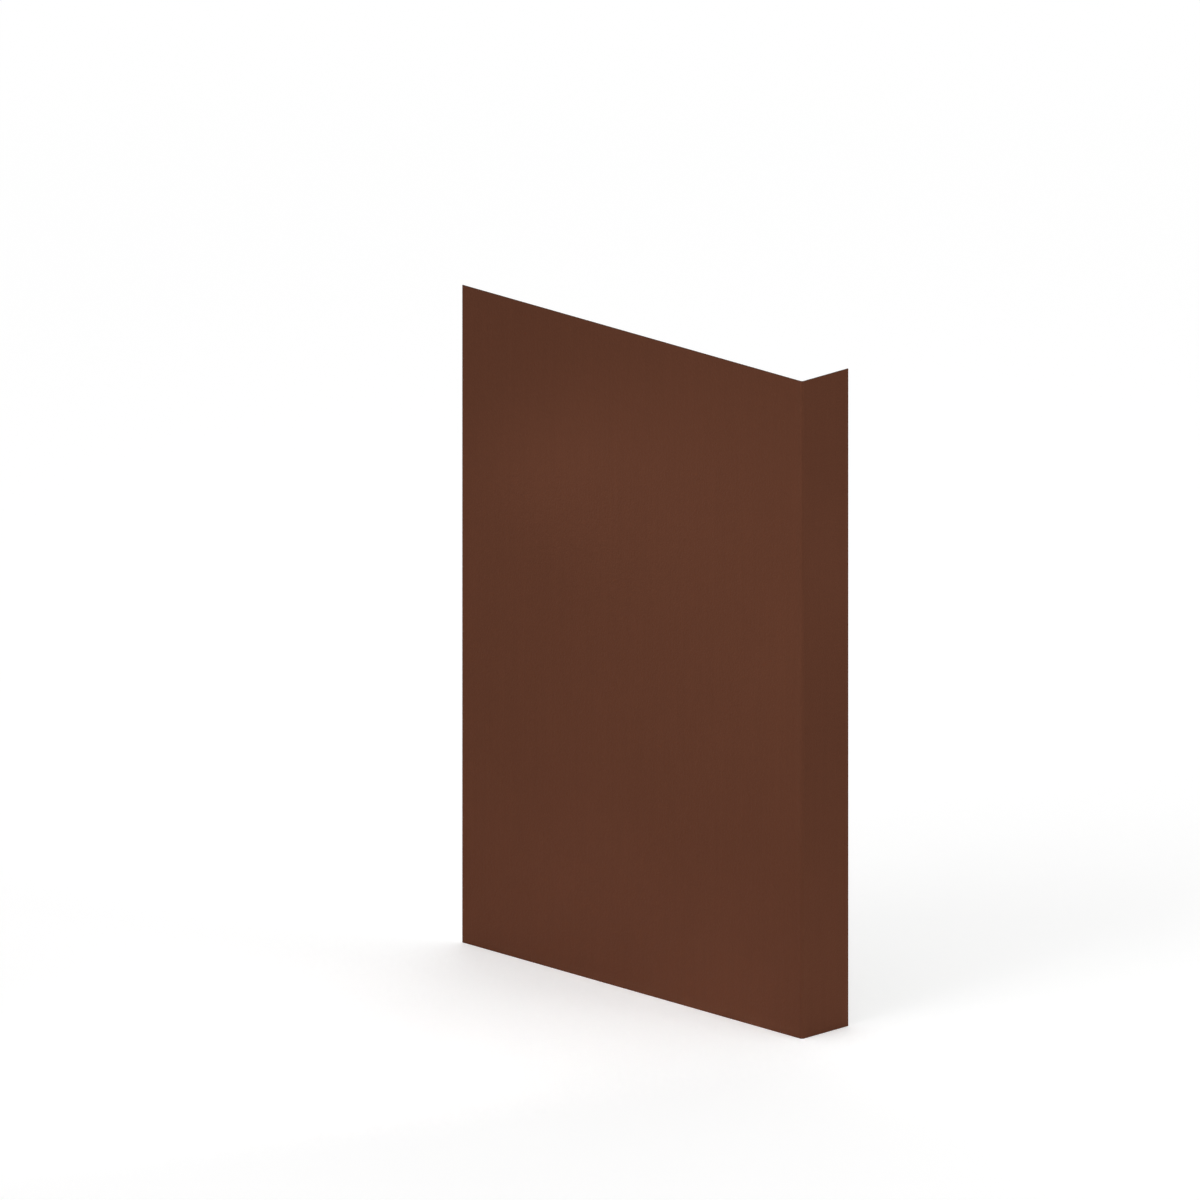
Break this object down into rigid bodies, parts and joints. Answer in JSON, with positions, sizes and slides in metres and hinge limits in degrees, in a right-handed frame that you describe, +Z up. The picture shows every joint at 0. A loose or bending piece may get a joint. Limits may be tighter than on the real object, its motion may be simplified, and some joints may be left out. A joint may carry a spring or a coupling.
{
  "type": "window reveal trim",
  "caption": "L-shaped folded sheet-metal trim: its wide leg lines the side of a window reveal and its narrow leg turns the wall's outer corner.",
  "frame": {"origin": "middle of the flat back of the wide leg, half-way along the fold", "axes": "+Y out of the back of the wide leg, into the wall; +Z up the fold; +X outdoors, from the free edge of the wide leg to the fold"},
  "size_m": [0.22, 0.03, 0.314],
  "materials": {
    "coated_steel": "satin"
  },
  "bodies": {
    "root": {"reveal_trim": "coated_steel"}
  },
  "joints": []
}
